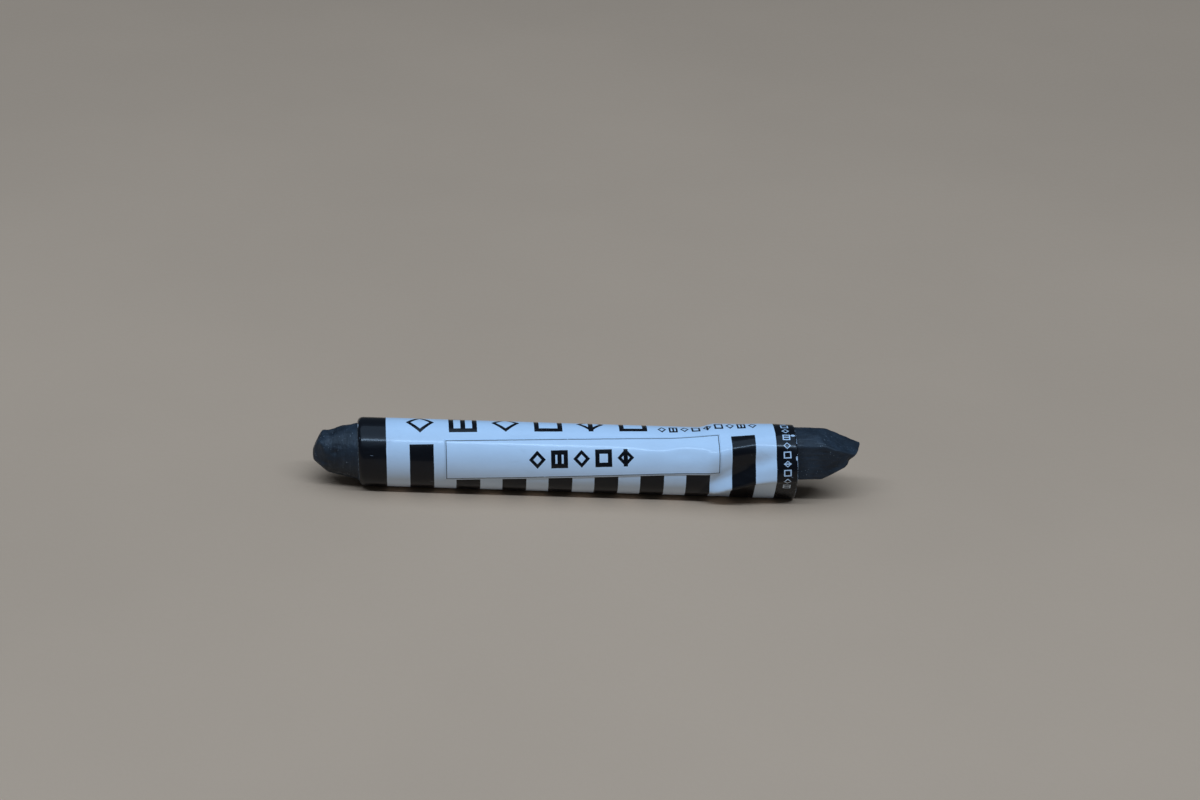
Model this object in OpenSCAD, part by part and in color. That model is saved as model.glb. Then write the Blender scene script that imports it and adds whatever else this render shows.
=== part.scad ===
// A ceramic pigment crayon in a printed paper wrapper, lying on its side.
// +X runs along the stick from its worn end to its cut end, -Y is the side that carries the name
// sticker, and Z = 0 is the surface it lies on. Millimetres.

/* [Stick] */
// Length of the stick from its worn end to its cut end
stick_l = 80; // [64:1:110]
// Diameter of the stick's round body
stick_d = 9.5; // [7:0.1:14]
// Length that stands out of the wrapper at the worn end
worn_l = 6.6; // [4.5:0.1:10]
// Length that stands out of the wrapper at the cut end
cut_l = 9.8; // [7:0.1:12]
// How far the body steps in, all round, where the worn nose starts
shoulder_step = 0.65; // [0.3:0.01:0.8]
// Length of the sloping shoulder behind the worn nose
shoulder_l = 0.7; // [0.4:0.05:1.2]
// Width of the worn nose where its rounded tip meets its cone, as a share of the cone's base
tip_share = 0.66; // [0.5:0.01:0.8]
// Length of the worn nose's rounded tip, as a share of the nose
tip_l_share = 0.2; // [0.12:0.01:0.35]

/* [Wrapper] */
// Thickness of the wrapper's paper
paper_t = 0.14; // [0.08:0.01:0.2]
// Slack between the stick and the paper
paper_gap = 0.05; // [0.02:0.01:0.12]
// Width of the paper's overlap, measured along the curve
overlap_w = 3.1; // [2:0.1:5]
// Direction of the seam's hidden edge, in degrees below level at the back
seam_turn = 60; // [50:1:65]
// Width of the strip that is pressed flat where the crayon lies
flat_w = 2.4; // [1.6:0.1:3.2]
// Gap between the curled-in lip and the worn nose
lip_gap = 0.06; // [0.04:0.01:0.2]
// Length of the loose skirt at the cut end
skirt_l = 10; // [8:0.5:14]
// How far the skirt stands out at its rim
skirt_rise = 0.8; // [0.2:0.05:1]

/* [Glue] */
// Thickness of the glue in the overlap
seam_glue_t = 0.03; // [0.02:0.01:0.06]
// Margin of bare paper each side of a glue strip
glue_margin = 0.4; // [0.2:0.1:0.8]
// Width of the glue strip that holds the paper's first edge to the stick
core_glue_w = 3; // [2:0.1:5]

/* [Sticker] */
// Length of the name sticker
sticker_l = 39.9; // [30:0.1:44]
// Height of the name sticker, measured along the curve
sticker_w = 6.1; // [4:0.1:8]
// Thickness of the name sticker with its adhesive
sticker_t = 0.09; // [0.06:0.01:0.12]
// Distance from the wrapper's lipped end to the sticker
sticker_in = 12.5; // [8:0.1:14]
// Direction of the sticker's centre, in degrees above level at the front
sticker_turn = 24; // [10:0.5:35]
// Slant of the sticker, in degrees, because the paper was rolled a little askew
sticker_skew = 2.5; // [0:0.1:4]

/* [Hidden] */
$fn = 96;

stick_r = stick_d / 2;
nose_r = stick_r - shoulder_step;
wrap_start = worn_l;
wrap_end = stick_l - cut_l;
body_start = worn_l + shoulder_l;
skirt_start = wrap_end - skirt_l;

// The paper is a scroll of two half turns. The second has its centre half a step out towards the
// seam, so that it meets the first at the far side and clears it by paper and glue at the seam.
paper_r = stick_r + paper_gap + paper_t;
scroll_step = (paper_t + seam_glue_t) / 2;
outer_r = paper_r + scroll_step;
outer_y = scroll_step * cos(seam_turn);
outer_z = -scroll_step * sin(seam_turn);
lip_drop = paper_gap + shoulder_step - lip_gap;
sticker_chord = 2 * outer_r * sin(sticker_w / 2 / outer_r * 180 / PI);

// Level of the flat strip below the stick's axis, on the paper's outside and its inside
flat_z = outer_z - sqrt(pow(outer_r, 2) - pow(flat_w / 2, 2));
flat_inside_z = flat_z + paper_t;
block = 4 * stick_d;

// Knife facets of the cut end: direction of the facet's face in degrees from the top towards the
// front, distance back from the point, depth below the round body there, slope towards the point,
// and how much farther back the blade went in. They meet just past the tip, which is blunt.
CUTS = [
    [12, 6.5, 0.0, 21.3, 4],
    [-48, 6.05, 0.35, 15, 6],
    [85, 9.25, 1.3, 0.5, 6],
    [82, 4.25, 1.31, 20, 6],
    [154, 8.95, 1.87, 2.5, 6],
    [154, 5.28, 2.17, 28.8, 6],
    [154, 1.65, 4.23, 56, 6],
    [120, 0.25, 6.88, 76, 9],
    [-26, 0.25, 1.68, 59, 6],
    [262, 9.25, 0.8, 3, 6],
    [255, 4.85, 1.25, 25, 6],
];
blunt = 0.25;

// Breaks in the worn nose, in the same form, with distance and slope towards the worn tip
CHIPS = [
    [-18, 1.2, 1.95, 66, 6],
    [154, 1.6, 2.1, 40, 6],
    [84, 1.5, 2.1, 44, 6],
    [215, 1.8, 1.9, 42, 6],
];

// Everything below is drawn on the stick's axis with the worn tip at X = 0, and placed by this.
module placed() translate([-stick_l / 2, 0, -flat_z]) children();

// Solid of revolution about X from [x, r] points
module turned(points) rotate([90, 0, 90]) rotate_extrude() polygon([for (p = points) [p[1], p[0]]]);

// Everything above the level z
module above(z) translate([-block, -block, z]) cube([stick_l + 2 * block, 2 * block, 2 * block]);

// The wedge about X from one direction to another, in degrees up from level at the back
module wedge(from, to) {
    reach = 3 * stick_r;
    middle = (from + to) / 2;
    rotate([90, 0, 90])
        linear_extrude(stick_l)
            polygon([
                [0, 0],
                reach * [cos(from), sin(from)],
                reach * 1.5 * [cos(middle), sin(middle)],
                reach * [cos(to), sin(to)],
            ]);
}

// The half space on the seam's climbing side (side = 1) or on its other side (side = -1)
module half(side)
    rotate([-seam_turn, 0, 0])
        translate([-block, -block, side > 0 ? 0 : -2 * block])
            cube([stick_l + 2 * block, 2 * block, 2 * block]);

// What one stroke of the blade takes off, for a nose that points along +X
module facet(cut)
    rotate([cut[0], 0, 0])
        translate([-cut[1], block / 2, stick_r - cut[2]])
            rotate([0, cut[3], 0])
                rotate([90, 0, 0])
                    linear_extrude(block)
                        polygon([[-cut[4], 0], [block, 0], [block, block], [-cut[4] - 2 * block, block]]);

// Outline of the worn nose: x and r, from the tip to the shoulder. It is a cone with a round tip.
function worn_nose() =
    [for (i = [0 : 16])
        let (share = pow(i / 16, 1.8))
        let (cone = nose_r * (tip_share + (1 - tip_share) * share))
        [worn_l * share, cone * sqrt(1 - pow(1 - min(1, share / tip_l_share), 2.2))]];

module pigment_stick()
    color("#2b3947")
        difference() {
            turned(concat(worn_nose(), [[body_start, stick_r], [stick_l, stick_r], [stick_l, 0]]));
            for (cut = CUTS) translate([stick_l + blunt, 0, 0]) facet(cut);
            for (chip = CHIPS) mirror([1, 0, 0]) facet(chip);
            translate([0, 0, -2 * block]) above(flat_inside_z + paper_gap);
        }

// The solid inside one face of the paper: r is its radius on the straight stretch
module paper_face(r, floor_z)
    intersection() {
        turned([
            [wrap_start, 0],
            [wrap_start, r - lip_drop],
            [body_start, r],
            [skirt_start, r],
            [wrap_end, r + skirt_rise],
            [wrap_end, 0],
        ]);
        above(floor_z);
    }

// One shell of paper about the stick's axis, or about the scroll's second centre
module paper_shell(r, shift)
    difference() {
        translate([0, shift * outer_y, shift * outer_z]) paper_face(r, flat_z - shift * outer_z);
        translate([0, shift * outer_y, shift * outer_z]) paper_face(r - paper_t, flat_inside_z - shift * outer_z);
    }

module wrapper_label()
    color("#dfe8f4") {
        intersection() {
            paper_shell(paper_r, 0);
            half(1);
        }
        intersection() {
            paper_shell(outer_r, 1);
            half(-1);
        }
        intersection() {
            paper_shell(paper_r + 2 * scroll_step, 0);
            half(1);
            wedge(-seam_turn - 5, -seam_turn + overlap_w / paper_r * 180 / PI);
        }
    }

// A strip of glue on the inside or outside of a round face, up from the seam's hidden edge
module glue_strip(r, t, from_w, to_w)
    intersection() {
        turned([
            [body_start + glue_margin, r],
            [body_start + glue_margin, r + t],
            [skirt_start - glue_margin, r + t],
            [skirt_start - glue_margin, r],
        ]);
        wedge(-seam_turn + from_w / r * 180 / PI, -seam_turn + to_w / r * 180 / PI);
    }

module core_glue_strip()
    color("#d9cfae")
        glue_strip(stick_r, paper_gap, glue_margin, glue_margin + core_glue_w);

module seam_glue_strip()
    color("#d9cfae")
        glue_strip(paper_r, seam_glue_t, glue_margin, overlap_w - glue_margin);

module name_sticker()
    color("#e9eff8")
        intersection() {
            translate([0, outer_y, outer_z])
                turned([
                    [body_start, outer_r],
                    [body_start, outer_r + sticker_t],
                    [skirt_start, outer_r + sticker_t],
                    [skirt_start, outer_r],
                ]);
            translate([wrap_start + sticker_in + sticker_l / 2, outer_y, outer_z])
                rotate([90 - sticker_turn, 0, 0])
                    rotate([0, 0, sticker_skew])
                        translate([-sticker_l / 2, -sticker_chord / 2, 0])
                            cube([sticker_l, sticker_chord, block]);
        }

placed() pigment_stick();
placed() wrapper_label();
placed() core_glue_strip();
placed() seam_glue_strip();
placed() name_sticker();
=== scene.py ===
"""A ceramic pigment crayon in its printed paper wrapper, lying on a pale table.

Everything is built in millimetres about the crayon's own axis, with the worn end at X = 0, and is
then moved into the shared frame. Directions round the crayon are degrees above level at the front.
"""
import math

import bmesh
import bpy
import numpy as np
from mathutils import Matrix, Vector, noise


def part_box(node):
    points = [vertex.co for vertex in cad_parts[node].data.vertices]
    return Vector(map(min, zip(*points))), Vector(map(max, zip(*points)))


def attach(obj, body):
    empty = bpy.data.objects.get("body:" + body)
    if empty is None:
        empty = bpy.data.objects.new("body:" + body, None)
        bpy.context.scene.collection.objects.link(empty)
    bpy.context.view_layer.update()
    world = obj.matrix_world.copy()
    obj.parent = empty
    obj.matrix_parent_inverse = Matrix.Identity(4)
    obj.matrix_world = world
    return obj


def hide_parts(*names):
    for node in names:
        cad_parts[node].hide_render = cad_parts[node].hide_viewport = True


bl_info = {
    "name": "Wrapped pigment crayon",
    "version": (1, 0, 0),
    "blender": (4, 5, 0),
    "location": "3D View > Sidebar > Crayon",
    "description": "Builds a ceramic pigment crayon in a rolled and glued paper wrapper",
    "category": "Add Mesh",
}

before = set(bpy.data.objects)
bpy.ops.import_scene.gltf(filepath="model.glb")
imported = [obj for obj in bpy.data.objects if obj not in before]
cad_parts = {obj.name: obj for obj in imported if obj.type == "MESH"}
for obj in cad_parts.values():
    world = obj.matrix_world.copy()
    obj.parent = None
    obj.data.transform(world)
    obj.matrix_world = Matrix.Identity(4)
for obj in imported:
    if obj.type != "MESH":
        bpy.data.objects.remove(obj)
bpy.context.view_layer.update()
STICK_LOW, STICK_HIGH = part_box("pigment_stick")
WRAP_LOW, WRAP_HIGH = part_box("wrapper_label")

MM = 0.001
STICK_R = (STICK_HIGH.y - STICK_LOW.y) / 2 / MM
STICK_L = (STICK_HIGH.x - STICK_LOW.x) / MM
AXIS_Z = STICK_HIGH.z / MM - STICK_R
WRAP_START = (WRAP_LOW.x - STICK_LOW.x) / MM
WRAP_L = (WRAP_HIGH.x - WRAP_LOW.x) / MM


# ---------------------------------------------------------------- shared shapes


def ease(t):
    """0 to 1 with soft ends."""
    t = np.clip(t, 0.0, 1.0)
    return t * t * (3 - 2 * t)


def soft_min(values, radius):
    """The smallest of several arrays, with the corners between them rounded."""
    stack = np.stack(values)
    low = stack.min(0)
    return low - radius * np.log(np.exp(-(stack - low) / radius).sum(0))


def soft_max(a, b, radius):
    return -soft_min([-a, -b], radius)


def ripple(x, alpha, wave, seed):
    """Smooth noise over the wrapper's surface, the same on both layers of the overlap."""
    r = STICK_R / wave
    out = np.empty(len(x))
    for i, (px, a) in enumerate(zip(x, alpha)):
        out[i] = noise.noise(Vector((px / wave + seed, r * math.cos(a), r * math.sin(a) - seed)))
    return out


# Steps of the lift at the cut end: height, where it starts, how long it takes
STICK_STEPS = ((0.64, 55.6, 3.2), (0.08, 60, 16))
PAPER_STEPS = ((0.66, 55.9, 2.7), (0.22, 58.6, 8))
PAPER_STEPS_IN_FRONT = ((0.66, 51.0, 8.5), (0.22, 58.6, 8))


def lift(x, steps):
    """The stick is cracked inside its wrapper, and the cut end rides a little high."""
    return sum(height * ease((x - start) / length) for height, start, length in steps)


PAPER_T = 0.14
# Width of the sheet round the crayon, and its width up to where the overlap starts
SHEET_W = 34.6
TURN_W = 31.5
# Mean radius of the sheet, its clearance on the stick, and how far the overlap steps out
SHEET_R = 5.02
SHEET_GAP = 0.05
LAP_STEP = 0.17
SEAM_TURN = math.radians(240)
# The sheet was rolled slightly crooked, and its rims lean a little
SKEW = math.sin(math.radians(3.0))
RIM_TILT = 0.28
RIM_TILT_TURN = math.radians(214)
# Waves of the loose paper: wavelength, height all along, more height at the loose end, seed
WAVES = ((7.0, 0.022, 0.05, 3.1), (2.6, 0.006, 0.03, 8.7))
LOOSE_FROM, LOOSE_OVER = 52, 10
# The fold over the loose end: distance along, direction of its ridge
FOLD = np.array([(54.6, -58), (57.6, -32), (60.6, -18), (63.6, -9), (67, -4), (71, 0)], float)
FOLD_FOOT = math.radians(-63)
# Soft dents in the paper: place on the sheet, half lengths, depth
DENTS = (
    (43.6, 17.2, 2.6, 0.9, 0.075),
    (47.3, 18.6, 2.2, 0.8, 0.12),
    (50.4, 17.0, 1.8, 0.8, 0.11),
    (38.0, 19.4, 3.0, 0.9, 0.04),
    (57.2, 18.9, 2.4, 0.6, -0.07),
    (60.5, 17.6, 2.2, 0.7, 0.09),
    (21.0, 19.0, 3.4, 1.0, 0.03),
    (9.5, 18.0, 1.4, 1.6, 0.03),
    (46.0, 21.6, 7.5, 1.5, 0.10),
    (48.5, 18.2, 7.0, 1.0, -0.10),
)
# The worn end's lip: how much of the sheet curls, and how far in
LIP_L, LIP_DEPTH = 0.85, 0.62
FLOOR_SOFTNESS = 0.01


def hump(distance, width):
    """A soft bump, 1 at its middle."""
    return np.exp(-((distance / width) ** 2))


def fold_height(x, radius, front):
    """What the fold adds to the paper's radius: a facet below its ridge, a crest and a valley."""
    ridge = np.radians(np.interp(x, FOLD[:, 0], FOLD[:, 1]))
    middle, half = (ridge + FOLD_FOOT) / 2, np.maximum((ridge - FOLD_FOOT) / 2, 1e-3)
    within = np.clip(np.abs(front - middle) / half, 0, 1)
    facet = radius * np.cos(half) / np.cos(within * half)
    strength = ease((x - 55.2) / 3.0) * (0.55 + 0.45 * (1 - ease((x - 64) / 7)))
    past = (front - ridge) * SHEET_R
    crest = 0.80 * hump(past, np.where(past > 0, 0.85, 0.24)) * ease((x - 55.9) / 3.2)
    valley = 0.52 * hump(past - 2.2 - 0.15 * (x - 60.6), 1.1) * ease((x - 56.0) / 2.5)
    shoulder = 0.56 * hump(past - 5.4, 1.4) * ease((x - 56.0) / 3.0)
    fading = 1 - 0.8 * ease((x - 62.5) / 8)
    bend = (crest * (1 - 0.5 * ease((x - 61) / 4)) - valley + shoulder) * fading
    return (facet - radius) * strength + bend


def paper_place(u, v, stand_off=0.0):
    """Where a point of the flat sheet lies on the rolled wrapper.

    u runs along the crayon from the worn end's rim, v round it from the hidden edge at the back,
    over the top and down the front. stand_off lifts the point off the paper's printed face.
    """
    turn = (v + (WRAP_L / 2 - u) * SKEW) / SHEET_R
    alpha = SEAM_TURN - turn
    x = WRAP_START + u + RIM_TILT * np.sin(turn - RIM_TILT_TURN)

    layer = np.clip((v - TURN_W / 2) / (TURN_W / 2), 0, 1)
    radius = STICK_R + SHEET_GAP + PAPER_T + LAP_STEP * (0.5 - 0.5 * np.cos(math.pi * layer))
    upward = 0.5 + 0.5 * np.sin(alpha)
    over_top = ease((np.degrees(alpha) - 58) / 50)
    raised = lift(x, PAPER_STEPS) * over_top + lift(x, PAPER_STEPS_IN_FRONT) * (1 - over_top)
    radius = radius + raised * upward

    # Loose paper is never quite round
    loose = ease((x - LOOSE_FROM) / LOOSE_OVER)
    for wave, height, at_end, seed in WAVES:
        radius = radius + (height + at_end * loose) * ripple(x, alpha, wave, seed)
    for du, dv, lu, lv, depth in DENTS:
        radius = radius - depth * np.exp(-(((u - du) / lu) ** 2) - ((v - dv) / lv) ** 2)
    front = (alpha + math.pi) % (2 * math.pi) - math.pi
    radius = radius + fold_height(x, radius, front)

    # Never into the stick
    raised = lift(x, STICK_STEPS)
    clear = raised * np.sin(alpha) + np.sqrt(STICK_R**2 - (raised * np.cos(alpha)) ** 2)
    under = np.where(v > TURN_W - 1.0, LAP_STEP, 0.0) * ease((v - TURN_W + 1.0) / 1.0)
    radius = soft_max(radius, clear + PAPER_T + 0.035 + under, 0.012)

    # The worn end's lip curls in, and the other rim is a little bent out
    curl = np.clip(1 - u / LIP_L, 0, 1)
    radius = radius - LIP_DEPTH * (1 - np.sqrt(1 - 0.98 * curl**2)) - 0.05 * curl**2
    radius = radius + 0.05 * ease((u - WRAP_L + 0.5) / 0.5) * ripple(x, alpha, 3.0, 1.7)

    radius = radius + stand_off
    y = -radius * np.cos(alpha)
    z = radius * np.sin(alpha) + AXIS_Z
    # The sheet's first turn lies on its second where that passes between it and the floor
    floor = LAP_STEP * (1 - ease((v - 6) / 4))
    z = np.where(z < 2.0, soft_max(z, floor, FLOOR_SOFTNESS), z)
    return np.stack([x, y, z], 1)


def place_vertices(bm, points):
    """Moves the vertices to these points, given in millimetres from the worn end."""
    shift = np.array([STICK_LOW.x / MM, 0.0, 0.0])
    for vert, p in zip(bm.verts, (points + shift) * MM):
        vert.co = p


def put_in_scene(bm, name, materials):
    """Makes the bmesh an object of the crayon, riding on its one body."""
    mesh = bpy.data.meshes.new(name)
    for face in bm.faces:
        face.smooth = True
    bm.to_mesh(mesh)
    bm.free()
    piece = bpy.data.objects.new(name, mesh)
    bpy.context.scene.collection.objects.link(piece)
    for material in materials:
        mesh.materials.append(material)
    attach(piece, "root")
    return piece


def flat_sheet(columns, rows):
    """A grid with both coordinates from 0 to 1 and a UV map ready for the sheet's own plan."""
    bm = bmesh.new()
    bmesh.ops.create_grid(bm, x_segments=columns, y_segments=rows, size=0.5)
    bmesh.ops.translate(bm, verts=bm.verts, vec=(0.5, 0.5, 0))
    return bm


def roll_up(bm, u, v, stand_off, printed_v=None):
    """Rolls a flat grid into place and keeps its flat plan, in millimetres, as the UV map."""
    printed_v = v if printed_v is None else printed_v
    plan = bm.loops.layers.uv.new("sheet")
    bm.verts.index_update()
    for face in bm.faces:
        for loop in face.loops:
            i = loop.vert.index
            loop[plan].uv = (u[i], printed_v[i])
    place_vertices(bm, paper_place(u, v, stand_off))
    # v runs down the front while u runs to the right, so the grid's own side faces the stick
    bmesh.ops.reverse_faces(bm, faces=bm.faces)


def thicken(piece, thickness):
    """Gives a sheet its thickness, inwards from its printed face."""
    wall = piece.modifiers.new("Paper thickness", "SOLIDIFY")
    wall.thickness = thickness * MM
    wall.offset = -1.0
    wall.use_rim = True
    wall.material_offset = 1
    wall.material_offset_rim = 2
    return piece


# ---------------------------------------------------------------- shader helpers


class Nodes:
    """Short ways to add nodes to one tree."""

    def __init__(self, tree):
        self.tree = tree
        self.made = 0

    def add(self, kind, **settings):
        node = self.tree.nodes.new(kind)
        node.location = (self.made % 12 * 180 - 1800, 400 - self.made // 12 * 220)
        self.made += 1
        for key, value in settings.items():
            setattr(node, key, value)
        return node

    def feed(self, socket, value):
        if isinstance(value, bpy.types.NodeSocket):
            self.tree.links.new(value, socket)
        elif value is not None:
            socket.default_value = value

    def math(self, operation, a, b=None, c=None, clamp=False):
        node = self.add("ShaderNodeMath", operation=operation, use_clamp=clamp)
        for socket, value in zip(node.inputs, (a, b, c)):
            self.feed(socket, value)
        return node.outputs[0]

    def between(self, value, low, high):
        """1 where low < value < high."""
        above = self.math("GREATER_THAN", value, low)
        return self.math("MULTIPLY", above, self.math("LESS_THAN", value, high))

    def range(self, value, low, high, to_low=0.0, to_high=1.0):
        node = self.add("ShaderNodeMapRange", interpolation_type="SMOOTHSTEP")
        for key, given in (
            ("Value", value),
            ("From Min", low),
            ("From Max", high),
            ("To Min", to_low),
            ("To Max", to_high),
        ):
            self.feed(node.inputs[key], given)
        return node.outputs["Result"]

    def mix(self, share, a, b):
        node = self.add("ShaderNodeMix", data_type="RGBA")
        self.feed(node.inputs["Factor"], share)
        self.feed(node.inputs[6], a)
        self.feed(node.inputs[7], b)
        return node.outputs[2]

    def noise(self, vector, scale, detail=3.0, rough=0.55, warp=0.0):
        node = self.add("ShaderNodeTexNoise")
        self.feed(node.inputs["Vector"], vector)
        node.inputs["Scale"].default_value = scale
        node.inputs["Detail"].default_value = detail
        node.inputs["Roughness"].default_value = rough
        node.inputs["Distortion"].default_value = warp
        return node.outputs["Fac"]

    def stretched(self, vector, scale, turn=(0, 0, 0)):
        node = self.add("ShaderNodeMapping")
        self.feed(node.inputs["Vector"], vector)
        node.inputs["Scale"].default_value = scale
        node.inputs["Rotation"].default_value = turn
        return node.outputs["Vector"]

    def place(self):
        return self.add("ShaderNodeTexCoord").outputs["Object"]

    def plan(self):
        """The sheet's flat plan, in millimetres."""
        vector = self.add("ShaderNodeUVMap", uv_map="sheet").outputs["UV"]
        split = self.add("ShaderNodeSeparateXYZ")
        self.feed(split.inputs[0], vector)
        return split.outputs[0], split.outputs[1]

    def group(self, tree, **values):
        node = self.add("ShaderNodeGroup", node_tree=tree)
        for key, value in values.items():
            self.feed(node.inputs[key.replace("_", " ")], value)
        return node.outputs

    def bump(self, height, strength, distance, normal=None):
        node = self.add("ShaderNodeBump")
        node.inputs["Strength"].default_value = strength
        node.inputs["Distance"].default_value = distance
        self.feed(node.inputs["Height"], height)
        if normal is not None:
            self.feed(node.inputs["Normal"], normal)
        return node.outputs["Normal"]


def new_group(name, inputs, outputs):
    """A shader node group with named sockets: inputs and outputs are (name, type, default)."""
    tree = bpy.data.node_groups.new(name, "ShaderNodeTree")
    for label, kind, default in inputs:
        socket = tree.interface.new_socket(label, in_out="INPUT", socket_type=kind)
        if default is not None:
            socket.default_value = default
    for label, kind in outputs:
        tree.interface.new_socket(label, in_out="OUTPUT", socket_type=kind)
    nodes = Nodes(tree)
    return tree, nodes, nodes.add("NodeGroupInput").outputs, nodes.add("NodeGroupOutput").inputs


FLOAT, VECTOR, COLOUR = "NodeSocketFloat", "NodeSocketVector", "NodeSocketColor"


def finish_material(material, nodes, colour, rough, normal, **plain):
    """Feeds the shader's inputs: the varying ones from nodes, the rest as plain values."""
    shader = material.node_tree.nodes["Principled BSDF"]
    nodes.feed(shader.inputs["Base Color"], colour)
    nodes.feed(shader.inputs["Roughness"], rough)
    nodes.feed(shader.inputs["Normal"], normal)
    for key, value in plain.items():
        nodes.feed(shader.inputs[key.replace("_", " ")], value)
    return material


def new_material(name):
    material = bpy.data.materials.new(name)
    material.use_nodes = True
    return material, Nodes(material.node_tree)


# ---------------------------------------------------------------- shared effects


def marks_group():
    """A row of plain geometric marks: outlined squares and diamonds, some with a bar."""
    tree, n, i, o = new_group(
        "Row of marks",
        [
            ("Along", FLOAT, 0.0),
            ("Across", FLOAT, 0.0),
            ("First", FLOAT, 0.0),
            ("Pitch", FLOAT, 1.0),
            ("Count", FLOAT, 5.0),
            ("Half Width", FLOAT, 1.0),
            ("Half Height", FLOAT, 1.0),
            ("Stroke", FLOAT, 0.3),
        ],
        [("Mask", FLOAT)],
    )
    steps = n.math("ADD", n.math("DIVIDE", n.math("SUBTRACT", i["Along"], i["First"]), i["Pitch"]), 0.5)
    index = n.math("FLOOR", steps)
    local = n.math("MULTIPLY", n.math("SUBTRACT", n.math("SUBTRACT", steps, index), 0.5), i["Pitch"])
    last = n.math("SUBTRACT", i["Count"], 0.5)
    inside = n.math("MULTIPLY", n.math("GREATER_THAN", index, -0.5), n.math("LESS_THAN", index, last))
    side = n.math("DIVIDE", n.math("ABSOLUTE", local), i["Half Width"])
    up = n.math("DIVIDE", n.math("ABSOLUTE", i["Across"]), i["Half Height"])
    odd = n.math("MODULO", index, 2.0)
    square = n.math("MULTIPLY", n.math("MAXIMUM", side, up), odd)
    diamond = n.math("MULTIPLY", n.math("ADD", side, up), n.math("SUBTRACT", 1.0, odd))
    kind = n.math("ADD", square, diamond)
    band = n.math("DIVIDE", i["Stroke"], i["Half Width"])
    ring = n.between(kind, n.math("SUBTRACT", 1.0, band), 1.0)
    of_three = n.math("SUBTRACT", n.math("MODULO", index, 3.0), 1.0)
    third = n.math("LESS_THAN", n.math("ABSOLUTE", of_three), 0.5)
    bar = n.math(
        "MULTIPLY",
        n.math("MULTIPLY", third, n.math("LESS_THAN", up, 1.0)),
        n.math("LESS_THAN", n.math("ABSOLUTE", local), n.math("MULTIPLY", i["Stroke"], 0.5)),
    )
    n.feed(o["Mask"], n.math("MULTIPLY", inside, n.math("MAXIMUM", ring, bar)))
    return tree


def paper_group():
    """Coated label paper: slight mottling, handling smudges and its fine surface."""
    tree, n, i, o = new_group(
        "Handled paper",
        [
            ("Position", VECTOR, None),
            ("Ink", FLOAT, 0.0),
            ("Smudge", FLOAT, 0.5),
            ("White", COLOUR, None),
            ("Black", COLOUR, None),
        ],
        [("Color", COLOUR), ("Roughness", FLOAT), ("Height", FLOAT), ("Smudges", FLOAT)],
    )
    cloud = n.noise(i["Position"], 190.0, 4.0)
    fleck = n.noise(i["Position"], 2600.0, 2.0, 0.7)
    white = n.mix(n.range(cloud, 0.35, 0.7, 0.0, 0.14), i["White"], (0.55, 0.62, 0.72, 1))
    # Pigment dust rubbed in by fingers, in streaks along and round the crayon
    rubbed = n.noise(n.stretched(i["Position"], (0.35, 1, 1)), 420.0, 5.0, 0.68, 0.6)
    smudges = n.math("MULTIPLY", n.range(rubbed, 0.56, 0.78), i["Smudge"])
    dust = n.math("MULTIPLY", n.range(fleck, 0.69, 0.76), i["Smudge"])
    dirt = n.math("MAXIMUM", smudges, n.math("MULTIPLY", dust, 0.6))
    white = n.mix(n.math("MULTIPLY", dirt, 0.5), white, (0.20, 0.22, 0.26, 1))
    black = n.mix(n.range(rubbed, 0.5, 0.75, 0.0, 0.35), i["Black"], (0.016, 0.018, 0.022, 1))
    n.feed(o["Color"], n.mix(i["Ink"], white, black))
    rough = n.math("ADD", n.range(cloud, 0.3, 0.7, 0.30, 0.40), n.math("MULTIPLY", dirt, 0.25))
    n.feed(o["Roughness"], n.math("SUBTRACT", rough, n.math("MULTIPLY", i["Ink"], 0.05), clamp=True))
    fibre = n.noise(n.stretched(i["Position"], (0.5, 1, 1)), 1500.0, 3.0, 0.6)
    n.feed(o["Height"], n.math("ADD", n.math("MULTIPLY", fibre, 0.6), n.math("MULTIPLY", cloud, 0.8)))
    n.feed(o["Smudges"], dirt)
    return tree


def wear_group():
    """Paper worn through its print: a ragged edge line and scattered small chips."""
    tree, n, i, o = new_group(
        "Worn print",
        [
            ("Position", VECTOR, None),
            ("Edge Distance", FLOAT, 1.0),
            ("Edge", FLOAT, 0.1),
            ("Chips", FLOAT, 0.5),
        ],
        [("Mask", FLOAT)],
    )
    ragged = n.noise(i["Position"], 900.0, 4.0, 0.7)
    reach = n.math("MULTIPLY", i["Edge"], n.range(ragged, 0.38, 0.66, 0.0, 2.0))
    edge = n.math("LESS_THAN", i["Edge Distance"], reach)
    near = n.range(i["Edge Distance"], 0.1, 1.1, 1.0, 0.0)
    fine = n.noise(i["Position"], 2300.0, 3.0, 0.65)
    more = n.math("MULTIPLY", n.math("MULTIPLY", near, i["Chips"]), 0.16)
    chips = n.math("GREATER_THAN", n.math("ADD", fine, more), 0.745)
    scratch = n.noise(n.stretched(i["Position"], (0.12, 1.0, 1.0), (0, 0.5, 0.4)), 2600.0, 2.0, 0.5)
    lines = n.math("MULTIPLY", n.math("GREATER_THAN", scratch, 0.765), 0.4)
    n.feed(o["Mask"], n.math("MAXIMUM", n.math("MAXIMUM", edge, chips), lines))
    return tree


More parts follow.
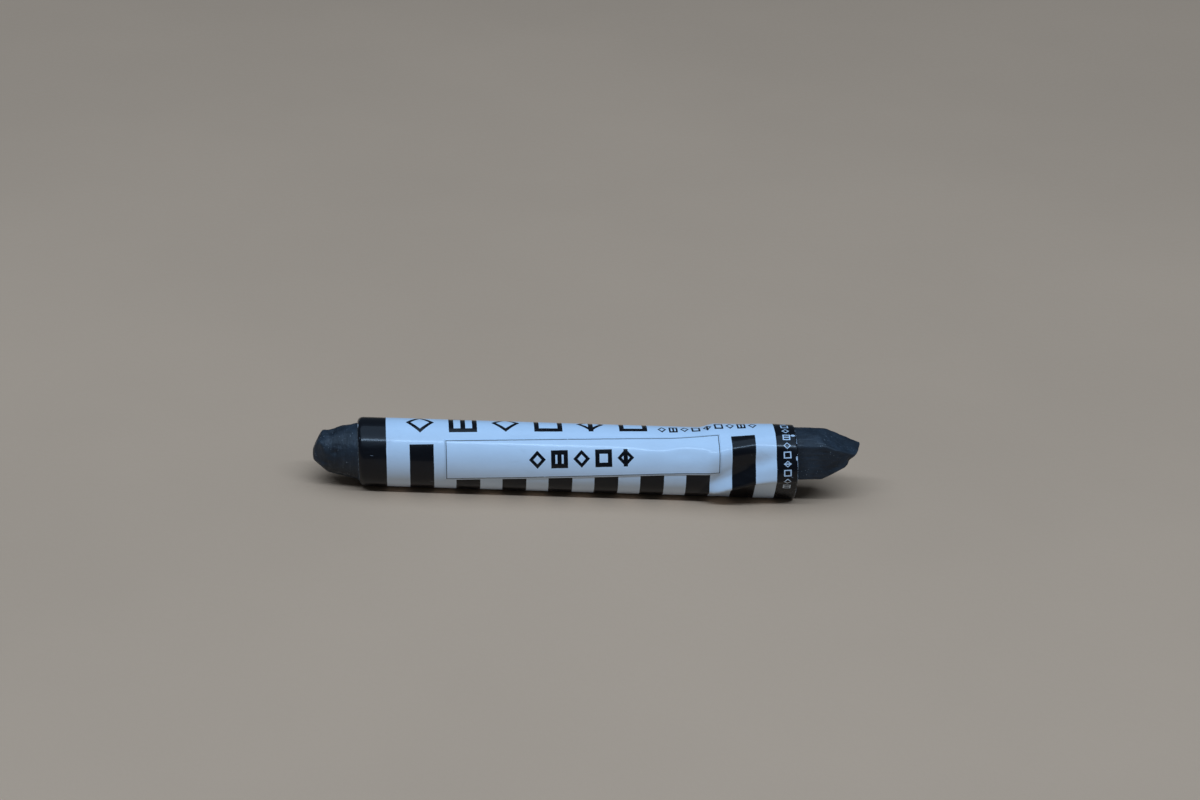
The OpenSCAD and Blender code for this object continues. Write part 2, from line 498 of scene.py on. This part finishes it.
def pigment_group():
    """Pressed ceramic pigment: cloudy grey-black, light dust and its grain."""
    tree, n, i, o = new_group(
        "Pressed pigment",
        [("Position", VECTOR, None), ("Dark", COLOUR, None), ("Light", COLOUR, None)],
        [("Color", COLOUR), ("Height", FLOAT), ("Dust", FLOAT)],
    )
    cloud = n.noise(i["Position"], 260.0, 5.0, 0.6, 0.4)
    grain = n.noise(i["Position"], 2400.0, 4.0, 0.65)
    body = n.mix(n.range(cloud, 0.32, 0.70), i["Dark"], i["Light"])
    speck = n.noise(i["Position"], 3600.0, 1.0, 0.4)
    patch = n.noise(i["Position"], 330.0, 3.0, 0.6)
    dust = n.math("MULTIPLY", n.math("GREATER_THAN", speck, 0.725), n.range(patch, 0.42, 0.62))
    n.feed(o["Color"], n.mix(n.math("MULTIPLY", dust, 0.8), body, (0.26, 0.29, 0.32, 1)))
    n.feed(o["Height"], n.math("ADD", grain, n.math("MULTIPLY", cloud, 1.5)))
    n.feed(o["Dust"], dust)
    return tree


def group(name, maker):
    """The node group of this name, made the first time it is asked for."""
    return bpy.data.node_groups.get(name) or maker()


# ---------------------------------------------------------------- materials


def pigment_material(settings):
    material, n = new_material("Pressed ceramic pigment")
    place = n.place()
    body = n.group(
        group("Pressed pigment", pigment_group),
        Position=place,
        Dark=(*settings.pigment_dark, 1),
        Light=(*settings.pigment_light, 1),
    )
    # Knife strokes run along the stick at the cut end, scuffs run round the worn end
    strokes = n.noise(n.stretched(place, (0.10, 1.0, 1.0), (0, 0.12, -0.08)), 3000.0, 3.0, 0.6)
    scuffs = n.noise(n.stretched(place, (1.0, 0.22, 0.22), (0.3, 0, 0.5)), 2100.0, 3.0, 0.6)
    split = n.add("ShaderNodeSeparateXYZ")
    n.feed(split.inputs[0], place)
    cut_end = n.range(split.outputs[0], 0.0, 0.02)
    lines = n.add("ShaderNodeMix")
    n.feed(lines.inputs["Factor"], cut_end)
    n.feed(lines.inputs[2], scuffs)
    n.feed(lines.inputs[3], strokes)
    lines = lines.outputs[0]
    polished = n.range(lines, 0.50, 0.72)
    bend = n.add("ShaderNodeNewGeometry").outputs["Pointiness"]
    # Convex crests (high pointiness) are painted lighter: a painted highlight along the stick's edges
    edge = n.range(bend, 0.515, 0.60)
    colour = n.mix(n.math("MULTIPLY", polished, 0.30), body["Color"], (0.045, 0.058, 0.076, 1))
    colour = n.mix(n.math("MULTIPLY", edge, 0.5), colour, (0.085, 0.105, 0.13, 1))
    # Concave hollows (low pointiness) are painted darker: painted shade in the recesses
    painted_hollow_shade = n.range(bend, 0.49, 0.42)
    colour = n.mix(n.math("MULTIPLY", painted_hollow_shade, 0.5), colour, (0.005, 0.006, 0.008, 1))
    dusty = n.math("MULTIPLY_ADD", body["Dust"], 0.2, 0.56)
    rough = n.math("SUBTRACT", dusty, n.math("MULTIPLY", polished, 0.16))
    fine = n.bump(body["Height"], 0.55, 0.00012)
    grooves = n.bump(lines, 0.5, 0.00018, fine)
    return finish_material(material, n, colour, rough, grooves, Specular_IOR_Level=0.42)


def printed_plan(n, waviness):
    """Position, and the flat plan with the slight raggedness that print has on fibres."""
    u, v = n.plan()
    place = n.place()
    ragged = n.math("SUBTRACT", n.noise(place, 900.0, 2.0), 0.5)
    waver = n.math("MULTIPLY", ragged, waviness)
    return place, waver, n.math("ADD", u, waver), n.math("ADD", v, waver)


def row(n, along, across, middle, first, pitch, count, half_width, half_height, stroke):
    """Mask of one row of marks whose middle line lies at a height on the sheet."""
    return n.group(
        group("Row of marks", marks_group),
        Along=along,
        Across=n.math("SUBTRACT", across, middle),
        First=first,
        Pitch=pitch,
        Count=count,
        Half_Width=half_width,
        Half_Height=half_height,
        Stroke=stroke,
    )["Mask"]


def worn_away(n, ink, mask, share):
    return n.math("MULTIPLY", ink, n.math("SUBTRACT", 1.0, n.math("MULTIPLY", mask, share)))


def finish_print(material, n, place, ink, smudge, white, black):
    """Coated label paper under its print."""
    paper = n.group(
        group("Handled paper", paper_group),
        Position=place,
        Ink=ink,
        Smudge=smudge,
        White=(*white, 1),
        Black=(*black, 1),
    )
    dulled = n.math("MULTIPLY", paper["Smudges"], 0.35)
    return finish_material(
        material,
        n,
        paper["Color"],
        paper["Roughness"],
        n.bump(paper["Height"], 0.35, 0.00006),
        Specular_IOR_Level=0.12,
        Coat_IOR=1.4,
        Coat_Weight=n.math("SUBTRACT", 0.5, dulled),
        Coat_Roughness=0.13,
    )


# Places at the rims where the print has chipped off: place and half lengths on the sheet
RIM_CHIPS = ((63.1, 16.5, 0.34, 0.17), (63.5, 19.7, 0.16, 0.30), (0.03, 12.4, 0.10, 0.5))


# The print on the sheet: the plain bands at both rims and the row of bars
BAND_END, BAND_START = 4.08, 60.56
BAR_FIRST, BAR_PITCH, BAR_WIDTH, BAR_COUNT = 7.42, 6.66, 3.46, 8
BAR_TOP, BAR_FOOT = 16.35, 28.6


def printed_material(settings):
    """The wrapper's printed face, laid out in millimetres on the flat sheet."""
    material, n = new_material("Printed label paper")
    place, waver, u, v = printed_plan(n, 0.07)

    bands = n.math("MAXIMUM", n.math("LESS_THAN", u, BAND_END), n.math("GREATER_THAN", u, BAND_START))
    along = n.math("SUBTRACT", u, BAR_FIRST)
    in_bar = n.math("LESS_THAN", n.math("MODULO", along, BAR_PITCH), BAR_WIDTH)
    bars = n.math("MULTIPLY", in_bar, n.between(along, 0.0, BAR_PITCH * BAR_COUNT - 1.0))
    bars = n.math("MULTIPLY", bars, n.between(v, BAR_TOP, BAR_FOOT))
    big = row(n, u, v, 12.15, 9.0, 6.2, 6.0, 2.05, 2.3, 0.70)
    small = row(n, u, v, 13.9, 44.2, 1.66, 9.0, 0.64, 0.84, 0.26)
    notice = row(n, v, u, 62.13, 8.4, 1.2, 14.0, 0.44, 0.56, 0.14)
    ink = n.math("MAXIMUM", n.math("MAXIMUM", bands, bars), n.math("MAXIMUM", big, small))
    ink = n.math("SUBTRACT", ink, n.math("MULTIPLY", notice, 0.9), clamp=True)

    to_rim = n.math("MINIMUM", u, n.math("SUBTRACT", WRAP_L, u))
    edge = n.math("MINIMUM", to_rim, n.math("SUBTRACT", SHEET_W, v))
    wear = group("Worn print", wear_group)
    worn = n.group(wear, Position=place, Edge_Distance=edge, Edge=0.035, Chips=0.3)["Mask"]
    ink = worn_away(n, ink, worn, 0.85)
    for chip_u, chip_v, long_u, long_v in RIM_CHIPS:
        off_u = n.math("DIVIDE", n.math("SUBTRACT", u, chip_u), long_u)
        off_v = n.math("DIVIDE", n.math("SUBTRACT", v, chip_v), long_v)
        far = n.math("ADD", n.math("MULTIPLY", off_u, off_u), n.math("MULTIPLY", off_v, off_v))
        torn = n.math("LESS_THAN", n.math("ADD", far, n.math("MULTIPLY", waver, 9.0)), 1.0)
        ink = worn_away(n, ink, torn, 0.8)
    smudge = n.range(to_rim, 0.0, 9.0, 0.75, 0.22)
    return finish_print(material, n, place, ink, smudge, settings.paper_white, settings.ink_black)


def sticker_material(settings):
    """The name panel: a thin frame line and one bold row of plain marks."""
    material, n = new_material("Printed name panel")
    place, _, u, v = printed_plan(n, 0.06)
    bold = row(n, u, v, 18.8, 25.8, 3.2, 5.0, 1.22, 1.28, 0.62)
    low_u, high_u, low_v, high_v = STICKER
    inset = n.math(
        "MINIMUM",
        n.math("MINIMUM", n.math("SUBTRACT", u, low_u), n.math("SUBTRACT", high_u, u)),
        n.math("MINIMUM", n.math("SUBTRACT", v, low_v), n.math("SUBTRACT", high_v, v)),
    )
    line = n.between(inset, 0.16, 0.29)
    ink = n.math("MAXIMUM", bold, n.math("MULTIPLY", line, 0.85))
    wear = group("Worn print", wear_group)
    worn = n.group(wear, Position=place, Edge_Distance=inset, Edge=0.03, Chips=0.4)["Mask"]
    ink = worn_away(n, ink, worn, 0.7)
    return finish_print(material, n, place, ink, 0.28, settings.sticker_white, settings.ink_black)


def bare_paper_material(name, white, dark, rough):
    """Uncoated paper: the wrapper's inside, and its cut edges."""
    material, n = new_material(name)
    place = n.place()
    fibres = n.noise(n.stretched(place, (0.3, 1, 1)), 2200.0, 4.0, 0.7, 0.5)
    cloud = n.noise(place, 400.0, 3.0)
    colour = n.mix(n.range(fibres, 0.40, 0.75), (*white, 1), (*dark, 1))
    colour = n.mix(n.range(cloud, 0.55, 0.8, 0.0, 0.55), colour, (0.10, 0.11, 0.13, 1))
    roughness = n.range(fibres, 0.3, 0.7, rough - 0.06, rough + 0.06)
    return finish_material(material, n, colour, roughness, n.bump(fibres, 0.5, 0.00008))


def glue_material():
    """Dried paste: cloudy, yellowish and slightly glossy."""
    material, n = new_material("Dried paste")
    place = n.place()
    cloud = n.noise(place, 700.0, 4.0, 0.6, 0.8)
    bubbles = n.add("ShaderNodeTexVoronoi", feature="F1")
    n.feed(bubbles.inputs["Vector"], place)
    bubbles.inputs["Scale"].default_value = 2500.0
    colour = n.mix(n.range(cloud, 0.3, 0.7), (0.62, 0.55, 0.38, 1), (0.78, 0.73, 0.60, 1))
    rough = n.range(cloud, 0.3, 0.7, 0.28, 0.5)
    height = n.math("ADD", cloud, bubbles.outputs["Distance"])
    normal = n.bump(height, 0.4, 0.00006)
    return finish_material(material, n, colour, rough, normal, Specular_IOR_Level=0.45)


def table_material(settings):
    """A plain pale surface with a very fine tooth."""
    material, n = new_material("Pale table")
    place = n.place()
    cloud = n.noise(place, 9.0, 4.0)
    tooth = n.noise(place, 900.0, 3.0, 0.6)
    base = settings.table_colour
    darker, lighter = ((*[part * share for part in base], 1) for share in (0.97, 1.03))
    colour = n.mix(n.range(cloud, 0.3, 0.7), darker, lighter)
    rough = n.range(tooth, 0.3, 0.7, 0.72, 0.84)
    return finish_material(material, n, colour, rough, n.bump(tooth, 0.25, 0.0001))


# ---------------------------------------------------------------- the stick

# The worn nose: its length, the step below the full stick and how long that step is
NOSE_L = WRAP_START
NOSE_R = STICK_R - 0.65
STEP_L = 0.85
# How wide the cone is at the tip, and the share of its length that is rounded
TIP_SHARE, TIP_L_SHARE = 0.66, 0.2
TIP_POWER = 2.2

# Further than any ray from inside the stick goes
FAR = 60.0
# Where rays start: along the axis between these two places
LEFT_CENTRE, RIGHT_CENTRE = 5.4, 73.2
SIDES = 232
CORNER_SOFTNESS = 0.045

# Knife strokes: direction from the top towards the front, distance back from the point,
# depth below the round body there, slope towards the point, how far behind the blade went in
CUTS = (
    (12, 6.6, 0.1, 22.0, 4),
    (-48, 6.05, 0.47, 15.5, 6),
    (85, 9.25, 1.3, 0.5, 6),
    (82, 4.25, 1.31, 20, 6),
    (154, 8.95, 1.87, 2.5, 6),
    (154, 6.02, 2.02, 28.5, 6),
    (154, 2.44, 4.21, 50.5, 6),
    (120, 0.25, 6.88, 76, 9),
    (-26, 0.25, 1.68, 59, 6),
    (262, 9.25, 0.8, 3, 6),
    (255, 4.85, 1.25, 25, 6),
)
# Pieces broken off the worn nose, given in the same way from its tip
CHIPS = (
    (-18, 1.2, 1.95, 66, 6),
    (154, 1.6, 2.1, 40, 6),
    (84, 1.5, 2.1, 44, 6),
    (215, 1.8, 1.9, 42, 6),
)
# The point that the knife strokes are measured from
POINT = STICK_L + 0.25
# Grain of the bare ends: wavelength, height
GRAIN = ((1.5, 0.065), (0.55, 0.035), (0.25, 0.018))
# Small dents: place, size, depth
NICKS = (
    ((76.0, -3.6, 0.5), 0.55, 0.22),
    ((75.2, -3.7, 0.2), 0.35, 0.18),
    ((77.6, -1.5, 2.2), 0.40, 0.16),
    ((79.0, -1.2, 0.6), 0.50, 0.30),
    ((78.7, -1.6, -1.3), 0.45, 0.30),
    ((2.1, -3.4, 0.4), 0.45, 0.16),
    ((3.6, -3.1, 2.2), 0.35, 0.14),
    ((0.9, -1.2, 2.6), 0.60, 0.30),
    ((2.4, 1.4, 2.9), 0.95, 0.42),
    ((0.5, 1.3, 2.2), 0.60, 0.28),
    ((78.35, -2.3, 1.3), 0.42, 0.34),
    ((78.35, -1.4, 0.9), 0.42, 0.34),
    ((78.3, -2.9, 1.5), 0.42, 0.30),
    ((1.5, 0.9, 2.8), 0.50, 0.20),
    ((3.2, -2.9, 1.0), 0.50, 0.26),
    ((1.8, -3.2, -0.6), 0.50, 0.24),
    ((1.0, -2.0, -1.6), 0.50, 0.28),
    ((2.6, -0.6, 3.3), 0.60, 0.30),
    ((78.3, -0.6, -2.0), 0.60, 0.25),
    ((4.4, 2.6, 2.9), 0.60, 0.16),
    ((73.0, 3.4, 2.6), 0.60, 0.20),
    ((76.8, 1.4, -2.9), 0.70, 0.22),
)


def nose_radius(x):
    """Half width of the worn nose before it broke, at a distance from its tip."""
    share = np.clip(x / NOSE_L, 0, 1)
    cone = NOSE_R * (TIP_SHARE + (1 - TIP_SHARE) * share)
    along_tip = np.minimum(1, share / TIP_L_SHARE)
    round_tip = np.sqrt(np.clip(1 - (1 - along_tip) ** TIP_POWER, 0, 1))
    return cone * round_tip + (STICK_R - NOSE_R) * ease((x - NOSE_L + 0.15) / STEP_L)


def nose_reach(start, way):
    """How far a ray from inside gets before it leaves the worn nose."""
    low, high = np.zeros(len(way)), np.full(len(way), 12.0)
    side = np.hypot(way[:, 1], way[:, 2])
    for _ in range(32):
        middle = (low + high) / 2
        x = start[:, 0] + way[:, 0] * middle
        outside = (side * middle > nose_radius(x)) | (x < 0)
        high = np.where(outside, middle, high)
        low = np.where(outside, low, middle)
    return low


def cut_reach(start, way, cut, origin, towards):
    """How far a ray from inside gets before it enters what one knife stroke took off."""
    turn, back, depth, slope, behind = cut
    turn, slope = math.radians(turn), math.radians(slope)
    up_axis = np.array([0.0, -math.sin(turn), math.cos(turn)])

    def local(points, offset):
        along = points[:, 0] * towards + (back - origin * towards) * offset
        height = points @ up_axis - (STICK_R - depth) * offset
        forward = along * math.cos(slope) - height * math.sin(slope)
        return forward, along * math.sin(slope) + height * math.cos(slope)

    f0, h0 = local(start, 1.0)
    f1, h1 = local(way, 0.0)
    g0, g1 = f0 + behind + 2 * h0, f1 + 2 * h1
    far = np.full(len(way), FAR)
    t_face = np.where(h1 > 1e-6, -h0 / np.maximum(h1, 1e-6), far)
    t_back = np.where(g0 > 0, 0.0, np.where(g1 > 1e-6, -g0 / np.maximum(g1, 1e-6), far))
    leaves = (g0 > 0) & (g1 < 0) & (g0 + g1 * t_face < 0)
    return np.where(leaves, far, np.clip(soft_max(t_face, t_back, 0.05), 0, FAR))


def spin_bar():
    """A round-ended bar: quarter circles at both ends, joined and spun about the X axis."""
    bm = bmesh.new()
    for centre, sign, steps in ((LEFT_CENTRE, -1, 58), (RIGHT_CENTRE, 1, 84)):
        pole = bm.verts.new((centre + sign * STICK_R, 0, 0))
        bmesh.ops.spin(
            bm,
            geom=[pole],
            cent=(centre, 0, 0),
            axis=(0, 1, 0),
            angle=-sign * math.pi / 2,
            steps=steps,
        )
    near, far = (
        min(bm.verts, key=lambda vert: (vert.co - Vector((x, 0, STICK_R))).length)
        for x in (LEFT_CENTRE, RIGHT_CENTRE)
    )
    height = near.co.z
    stations = [near, *(bm.verts.new((x, 0, height)) for x in (8.4, 68.6)), far]
    spans = [bm.edges.new(ends) for ends in zip(stations, stations[1:])]
    for span, cuts in zip(spans, (20, 24, 30)):
        bmesh.ops.subdivide_edges(bm, edges=[span], cuts=cuts)
    bmesh.ops.spin(
        bm,
        geom=bm.verts[:] + bm.edges[:],
        cent=(0, 0, 0),
        axis=(1, 0, 0),
        angle=2 * math.pi,
        steps=SIDES,
        use_merge=True,
    )
    bmesh.ops.remove_doubles(bm, verts=bm.verts, dist=1e-4)
    bmesh.ops.recalc_face_normals(bm, faces=bm.faces)
    return bm


def build_stick(settings):
    """Spins a round-ended bar, then works the worn nose and the knife cuts into it."""
    bm = spin_bar()
    at = np.array([vert.co for vert in bm.verts])
    start = np.zeros_like(at)
    start[:, 0] = np.clip(at[:, 0], LEFT_CENTRE, RIGHT_CENTRE)
    way = at - start
    way /= np.linalg.norm(way, axis=1)[:, None]
    sideways = np.maximum(np.hypot(way[:, 1], way[:, 2]), 1e-6)
    worn_end = at[:, 0] < 12
    nose = np.full(len(at), FAR)
    nose[worn_end] = nose_reach(start[worn_end], way[worn_end])
    reach = [np.minimum(STICK_R / sideways, FAR), nose]
    reach += [cut_reach(start, way, cut, POINT, 1.0) for cut in CUTS]
    reach += [cut_reach(start, way, cut, 0.0, -1.0) for cut in CHIPS]
    reach = soft_min(reach, CORNER_SOFTNESS)

    # The grain of pressed pigment, coarser on the broken and cut ends
    shape = start + way * reach[:, None]
    ends = np.maximum(1 - ease((shape[:, 0] - 5.5) / 3), ease((shape[:, 0] - 68) / 3))
    rough = np.zeros(len(at))
    for k in np.flatnonzero(ends >= 0.01):
        place = Vector(shape[k])
        rough[k] = sum(height * noise.noise(place / wave) for wave, height in GRAIN)
    reach = reach + rough * ends
    shape = start + way * reach[:, None]
    for centre, size, depth in NICKS:
        gap = np.linalg.norm(shape - np.array(centre), axis=1)
        reach = reach - depth * np.exp(-((gap / size) ** 2))
    shape = start + way * reach[:, None]
    shape[:, 0] = np.clip(shape[:, 0], 0.0, STICK_L)
    shape[:, 2] += AXIS_Z + lift(shape[:, 0], STICK_STEPS)
    place_vertices(bm, shape)
    piece = put_in_scene(bm, "pigment_stick_shaped", [pigment_material(settings)])
    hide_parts("pigment_stick")
    return piece


# ---------------------------------------------------------------- the paper


# The name panel on the sheet: from and to along it, from and to across it
STICKER = (12.45, 52.42, 15.68, 21.62)
STICKER_LIES_AT, STICKER_SHOWN_T = 0.075, 0.065
# The panel's corners moved across the sheet: lower left, lower right, upper right
STICKER_TAPER = (0.42, 0.04, 0.22)
# Finer rows for the curled lip: its length, and its share of the grid
LIP_ROWS, LIP_SHARE = 1.3, 0.075


def build_wrapper(settings):
    """Rolls the printed sheet round the stick, with its overlap, lip, flare and fold."""
    bm = flat_sheet(252, 138)
    flat = np.array([vert.co for vert in bm.verts])
    share = flat[:, 0]
    beyond = LIP_ROWS + (share - LIP_SHARE) / (1 - LIP_SHARE) * (WRAP_L - LIP_ROWS)
    u = np.where(share < LIP_SHARE, share / LIP_SHARE * LIP_ROWS, beyond)
    roll_up(bm, u, flat[:, 1] * SHEET_W, 0.0)
    piece = put_in_scene(
        bm,
        "wrapper_rolled",
        [
            printed_material(settings),
            bare_paper_material("Wrapper inside", (0.62, 0.64, 0.66), (0.48, 0.49, 0.50), 0.8),
            bare_paper_material("Cut paper edge", (0.80, 0.82, 0.84), (0.58, 0.60, 0.62), 0.9),
        ],
    )
    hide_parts("wrapper_label")
    return thicken(piece, PAPER_T)


def build_patch(piece_name, node, plan, stand_off, thickness, cells, materials, taper=(0, 0, 0)):
    """A thin layer on or under the wrapper that covers a four-cornered part of the flat sheet."""
    low_u, high_u, low_v, high_v = plan
    bm = flat_sheet(*cells)
    flat = np.array([vert.co for vert in bm.verts])
    along, down = flat[:, 0], flat[:, 1]
    u = low_u + along * (high_u - low_u)
    v = low_v + down * (high_v - low_v)
    moved = down * (taper[0] * (1 - along) + taper[1] * along) + (1 - down) * taper[2] * along
    roll_up(bm, u, v + moved, stand_off, v)
    piece = put_in_scene(bm, piece_name, materials)
    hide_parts(node)
    return thicken(piece, thickness)


def build_sticker(settings):
    edge = bare_paper_material("Sticker edge", (0.82, 0.84, 0.86), (0.66, 0.68, 0.70), 0.85)
    return build_patch(
        "name_panel",
        "name_sticker",
        STICKER,
        STICKER_LIES_AT,
        STICKER_SHOWN_T,
        (176, 30),
        [sticker_material(settings), edge, edge],
        STICKER_TAPER,
    )


def build_glue():
    """Two thin strips of paste under the sheet: at its first edge, and in its overlap."""
    paste = glue_material()
    from_u, to_u = 1.2, 53.0
    under_sheet = -PAPER_T - 0.004
    for piece_name, slot, node, from_v, to_v, thickness, cells in (
        ("core_paste", "core_glue", "core_glue_strip", 0.3, 3.2, 0.04, (120, 10)),
        ("seam_paste", "seam_glue", "seam_glue_strip", SHEET_W - 2.6, SHEET_W - 0.4, 0.022, (120, 8)),
    ):
        plan = (from_u, to_u, from_v, to_v)
        build_patch(piece_name, node, plan, under_sheet, thickness, cells, [paste] * 3)


# ---------------------------------------------------------------- the stage


CAMERA_AT = Vector((-27.0, -367.2, 183.9))
CAMERA_AIM = Vector((1.27, 0.0, 14.28))
CAMERA_ROLL = math.radians(3.67)
LENS, SENSOR = 84, 36
TABLE_HALF = 3.0
SKY = (0.50, 0.72, 1.0)
ROOM = (0.58, 0.78, 1.0, 1)


def add_light(name, at, aim, size, power, colour):
    """A rectangular area light, in metres and watts."""
    data = bpy.data.lights.new(name, "AREA")
    data.shape = "RECTANGLE"
    data.size, data.size_y = size
    data.energy = power
    data.color = colour
    light = bpy.data.objects.new(name, data)
    light.location = at
    light.rotation_euler = (Vector(aim) - Vector(at)).to_track_quat("-Z", "Y").to_euler()
    bpy.context.scene.collection.objects.link(light)
    return light


def add_camera(scene):
    data = bpy.data.cameras.new("camera")
    data.sensor_width = SENSOR
    data.lens = LENS
    data.clip_start = 0.01
    data.clip_end = 20
    camera = bpy.data.objects.new("camera", data)
    turn = (CAMERA_AIM - CAMERA_AT).to_track_quat("-Z", "Y").to_matrix()
    turn = turn @ Matrix.Rotation(CAMERA_ROLL, 3, "Z")
    camera.matrix_world = Matrix.Translation(CAMERA_AT * MM) @ turn.to_4x4()
    scene.collection.objects.link(camera)
    scene.camera = camera


def build_stage(settings):
    """Pale table, an overhead softbox, a long strip light in front, even room light, camera."""
    scene = bpy.context.scene
    bm = bmesh.new()
    bmesh.ops.create_grid(bm, x_segments=8, y_segments=8, size=TABLE_HALF)
    mesh = bpy.data.meshes.new("table_top")
    bm.to_mesh(mesh)
    bm.free()
    table = bpy.data.objects.new("table_top", mesh)
    mesh.materials.append(table_material(settings))
    scene.collection.objects.link(table)

    aim = (0, 0, 0)
    add_light("overhead_softbox", (0, 0, 0.80), aim, (1.5, 0.9), settings.softbox_power, SKY)
    add_light("front_strip", (0, -0.35, 0.72), aim, (1.3, 0.055), settings.strip_power, SKY)

    world = bpy.data.worlds.new("Soft room light")
    world.use_nodes = True
    background = world.node_tree.nodes["Background"]
    background.inputs["Color"].default_value = ROOM
    background.inputs["Strength"].default_value = settings.room_light
    scene.world = world

    add_camera(scene)
    scene.view_settings.view_transform = "Standard"
    scene.view_settings.look = "None"
    return table


# ---------------------------------------------------------------- add-on parts


def colour_property(name, description, default):
    return bpy.props.FloatVectorProperty(
        name=name, description=description, subtype="COLOR", size=3, min=0.0, max=1.0, default=default
    )


class CrayonSettings(bpy.types.PropertyGroup):
    """Colours of the crayon and its wrapper"""

    pigment_dark: colour_property(
        "Pigment, dark", "Darker tone of the pressed pigment", (0.006, 0.010, 0.016)
    )
    pigment_light: colour_property(
        "Pigment, light", "Lighter tone of the pressed pigment", (0.018, 0.029, 0.043)
    )
    paper_white: colour_property("Paper", "Unprinted face of the wrapper", (0.68, 0.80, 0.94))
    sticker_white: colour_property(
        "Name panel", "Unprinted face of the name panel", (0.70, 0.82, 0.96)
    )
    ink_black: colour_property("Ink", "Black of the print", (0.006, 0.006, 0.008))


class StageSettings(bpy.types.PropertyGroup):
    """Table and lights round the crayon"""

    table_colour: colour_property("Table", "Colour of the table", (0.645, 0.412, 0.264))
    softbox_power: bpy.props.FloatProperty(
        name="Softbox",
        description="Power of the overhead softbox",
        default=4.5,
        min=0.0,
        unit="POWER",
    )
    strip_power: bpy.props.FloatProperty(
        name="Strip",
        description="Power of the long light in front",
        default=4.6,
        min=0.0,
        unit="POWER",
    )
    room_light: bpy.props.FloatProperty(
        name="Room light",
        description="Strength of the even light from the room",
        default=0.075,
        min=0.0,
        max=5.0,
    )


class CRAYON_OT_stick(bpy.types.Operator):
    """Build the pigment stick with its worn nose and its knife cuts"""

    bl_idname = "crayon.stick"
    bl_label = "Pigment stick"

    def execute(self, context):
        build_stick(context.scene.crayon_settings)
        return {"FINISHED"}


class CRAYON_OT_wrapper(bpy.types.Operator):
    """Roll the printed wrapper round the stick"""

    bl_idname = "crayon.wrapper"
    bl_label = "Paper wrapper"

    def execute(self, context):
        build_wrapper(context.scene.crayon_settings)
        return {"FINISHED"}


class CRAYON_OT_sticker(bpy.types.Operator):
    """Lay the name panel on the wrapper"""

    bl_idname = "crayon.sticker"
    bl_label = "Name panel"

    def execute(self, context):
        build_sticker(context.scene.crayon_settings)
        return {"FINISHED"}


class CRAYON_OT_glue(bpy.types.Operator):
    """Spread the two strips of paste that hold the wrapper"""

    bl_idname = "crayon.glue"
    bl_label = "Paste strips"

    def execute(self, context):
        build_glue()
        return {"FINISHED"}


class CRAYON_OT_stage(bpy.types.Operator):
    """Set up the table, the lights and the camera"""

    bl_idname = "crayon.stage"
    bl_label = "Table, lights and camera"

    def execute(self, context):
        build_stage(context.scene.crayon_stage)
        return {"FINISHED"}


OPERATORS = (CRAYON_OT_stick, CRAYON_OT_wrapper, CRAYON_OT_sticker, CRAYON_OT_glue, CRAYON_OT_stage)


class CRAYON_PT_panel(bpy.types.Panel):
    """Settings and building steps of the crayon"""

    bl_idname = "CRAYON_PT_panel"
    bl_label = "Crayon"
    bl_space_type = "VIEW_3D"
    bl_region_type = "UI"
    bl_category = "Crayon"

    def draw(self, context):
        for settings in (context.scene.crayon_settings, context.scene.crayon_stage):
            for key in settings.bl_rna.properties.keys():
                if key not in ("rna_type", "name"):
                    self.layout.prop(settings, key)
        for operator in OPERATORS:
            self.layout.operator(operator.bl_idname)


CLASSES = (CrayonSettings, StageSettings, *OPERATORS, CRAYON_PT_panel)


def register():
    for cls in CLASSES:
        bpy.utils.register_class(cls)
    bpy.types.Scene.crayon_settings = bpy.props.PointerProperty(type=CrayonSettings)
    bpy.types.Scene.crayon_stage = bpy.props.PointerProperty(type=StageSettings)


def unregister():
    del bpy.types.Scene.crayon_stage
    del bpy.types.Scene.crayon_settings
    for cls in reversed(CLASSES):
        bpy.utils.unregister_class(cls)


def main():
    register()
    bpy.ops.crayon.stick()
    bpy.ops.crayon.wrapper()
    bpy.ops.crayon.sticker()
    bpy.ops.crayon.glue()
    bpy.ops.crayon.stage()


if __name__ == "__main__":
    main()
